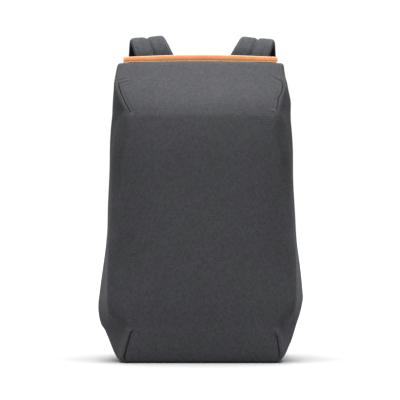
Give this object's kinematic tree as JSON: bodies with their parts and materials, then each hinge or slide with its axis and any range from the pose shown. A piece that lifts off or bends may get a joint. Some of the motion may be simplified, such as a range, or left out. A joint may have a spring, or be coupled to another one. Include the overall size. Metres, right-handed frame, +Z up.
{
  "type": "anti theft backpack",
  "caption": "Charcoal fabric backpack that stands on its base, with a sloped top, folded corners, a zip at the back, a tan carry handle and padded shoulder straps.",
  "frame": {"origin": "middle of the flat underside of the base panel, half way between the front face and the back panel", "axes": "+Z up, -Y out of the front face, +Y towards the wearer's back, +X to the right of someone looking at the front"},
  "size_m": [0.306, 0.2366, 0.4881],
  "materials": {
    "shell_fabric": "woven charcoal polyester over thin foam",
    "strap_fabric": "woven mid-grey polyester over foam",
    "black_mesh": "open black spacer mesh",
    "black_webbing": "ribbed black polyester webbing and tape",
    "black_plastic": "satin moulded plastic",
    "tan_leather": "smooth tan leather with a paler cut edge"
  },
  "bodies": {
    "root": {"shell": "shell_fabric", "base_panel": "black_webbing", "zip_band": "black_webbing", "lower_gusset": "shell_fabric", "zip_slider": "black_plastic", "back_panel": "shell_fabric", "back_pad_left": "black_mesh", "back_pad_right": "black_mesh", "lumbar_pad": "black_mesh", "carry_handle": "tan_leather", "strap_left": "strap_fabric", "strap_lining_left": "black_mesh", "adjuster_loop_left": "black_webbing", "adjuster_left": "black_plastic", "webbing_left": "black_webbing", "anchor_left": "black_webbing", "strap_right": "strap_fabric", "strap_lining_right": "black_mesh", "adjuster_loop_right": "black_webbing", "adjuster_right": "black_plastic", "webbing_right": "black_webbing", "anchor_right": "black_webbing"}
  },
  "joints": []
}
